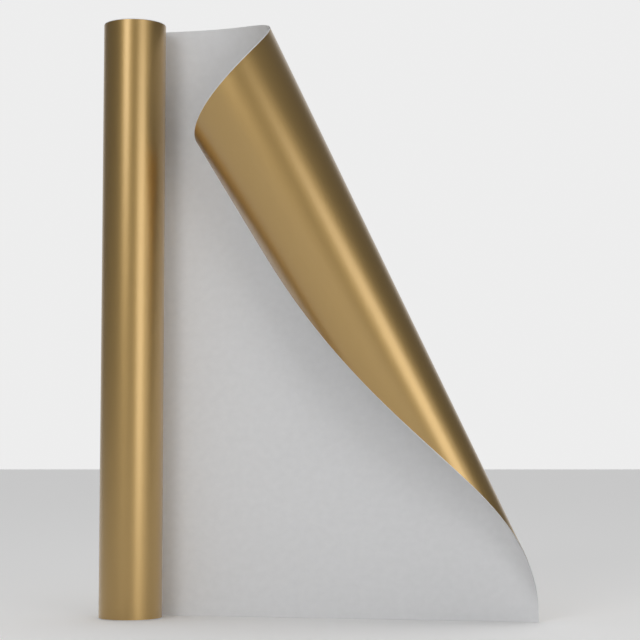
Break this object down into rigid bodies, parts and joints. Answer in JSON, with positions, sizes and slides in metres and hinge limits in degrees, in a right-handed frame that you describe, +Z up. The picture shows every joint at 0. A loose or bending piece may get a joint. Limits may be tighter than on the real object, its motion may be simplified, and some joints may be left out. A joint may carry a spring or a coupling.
{
  "type": "sign vinyl roll",
  "caption": "Roll of metallic self-adhesive sign vinyl on a paper core, standing on end, with a free stretch of the web whose upper corner curls back over the release liner.",
  "frame": {"origin": "middle of the core's bore at the lower end of the roll", "axes": "+Z up along the core, +X the way the free web runs off, -Y the side that the liner and the curl face"},
  "size_m": [0.2199, 0.068, 0.3048],
  "materials": {
    "film": "satin metallic",
    "adhesive": "clear, tacky",
    "liner": "matt coated",
    "core": "matt",
    "tape": "satin"
  },
  "bodies": {
    "roll": {"core_tube": "core", "start_tape": "tape", "wound_film": "film", "wound_adhesive": "adhesive", "wound_liner": "liner"},
    "lead": {"lead_film": "film", "lead_adhesive": "adhesive", "lead_liner": "liner"},
    "sheet": {"sheet_film": "film", "sheet_adhesive": "adhesive", "sheet_liner": "liner"},
    "curl_1": {"curl_1_film": "film", "curl_1_adhesive": "adhesive", "curl_1_liner": "liner"},
    "curl_2": {"curl_2_film": "film", "curl_2_adhesive": "adhesive", "curl_2_liner": "liner"},
    "curl_3": {"curl_3_film": "film", "curl_3_adhesive": "adhesive", "curl_3_liner": "liner"},
    "curl_4": {"curl_4_film": "film", "curl_4_adhesive": "adhesive", "curl_4_liner": "liner"},
    "curl_5": {"curl_5_film": "film", "curl_5_adhesive": "adhesive", "curl_5_liner": "liner"},
    "curl_6": {"curl_6_film": "film", "curl_6_adhesive": "adhesive", "curl_6_liner": "liner"}
  },
  "joints": [
    {"name": "unwind", "type": "hinge", "parent": "roll", "child": "lead", "pos_m": [0, 0, 0], "axis": [0, 0, 1], "range_deg": [0, 360]},
    {"name": "web_feed", "type": "slide", "parent": "lead", "child": "sheet", "axis": [0.9836, -0.1805, 0], "range_m": [0, 0.0983]},
    {"name": "curl_hinge_1", "type": "hinge", "parent": "sheet", "child": "curl_1", "pos_m": [0.20428, -0.02141, -0.00001], "axis": [-0.4829, 0.0877, 0.8713], "range_deg": [-2, 42], "stiffness_Nm_per_rad": 0.05},
    {"name": "curl_hinge_2", "type": "hinge", "parent": "curl_1", "child": "curl_2", "pos_m": [0.2025, -0.02502, 0.01871], "axis": [-0.4322, 0.0478, 0.9005], "range_deg": [-2, 42], "stiffness_Nm_per_rad": 0.04},
    {"name": "curl_hinge_3", "type": "hinge", "parent": "curl_2", "child": "curl_3", "pos_m": [0.19115, -0.03602, 0.04396], "axis": [-0.4306, 0.0071, 0.9025], "range_deg": [-2, 42], "stiffness_Nm_per_rad": 0.03},
    {"name": "curl_hinge_4", "type": "hinge", "parent": "curl_3", "child": "curl_4", "pos_m": [0.16668, -0.04568, 0.07149], "axis": [-0.4577, -0.0222, 0.8889], "range_deg": [-2, 42], "stiffness_Nm_per_rad": 0.02},
    {"name": "curl_hinge_5", "type": "hinge", "parent": "curl_4", "child": "curl_5", "pos_m": [0.13117, -0.0453, 0.10468], "axis": [-0.4891, -0.0192, 0.872], "range_deg": [-2, 42], "stiffness_Nm_per_rad": 0.012},
    {"name": "curl_hinge_6", "type": "hinge", "parent": "curl_5", "child": "curl_6", "pos_m": [0.0879, -0.03103, 0.15443], "axis": [-0.5113, 0.0104, 0.8593], "range_deg": [-2, 42], "stiffness_Nm_per_rad": 0.004}
  ],
  "couplings": [
    {"joint": "web_feed", "follows": "unwind", "m_per_rad": 0.0156},
    {"joint": "curl_hinge_2", "follows": "curl_hinge_1", "ratio": 1},
    {"joint": "curl_hinge_3", "follows": "curl_hinge_1", "ratio": 1},
    {"joint": "curl_hinge_4", "follows": "curl_hinge_1", "ratio": 1},
    {"joint": "curl_hinge_5", "follows": "curl_hinge_1", "ratio": 1},
    {"joint": "curl_hinge_6", "follows": "curl_hinge_1", "ratio": 1}
  ]
}
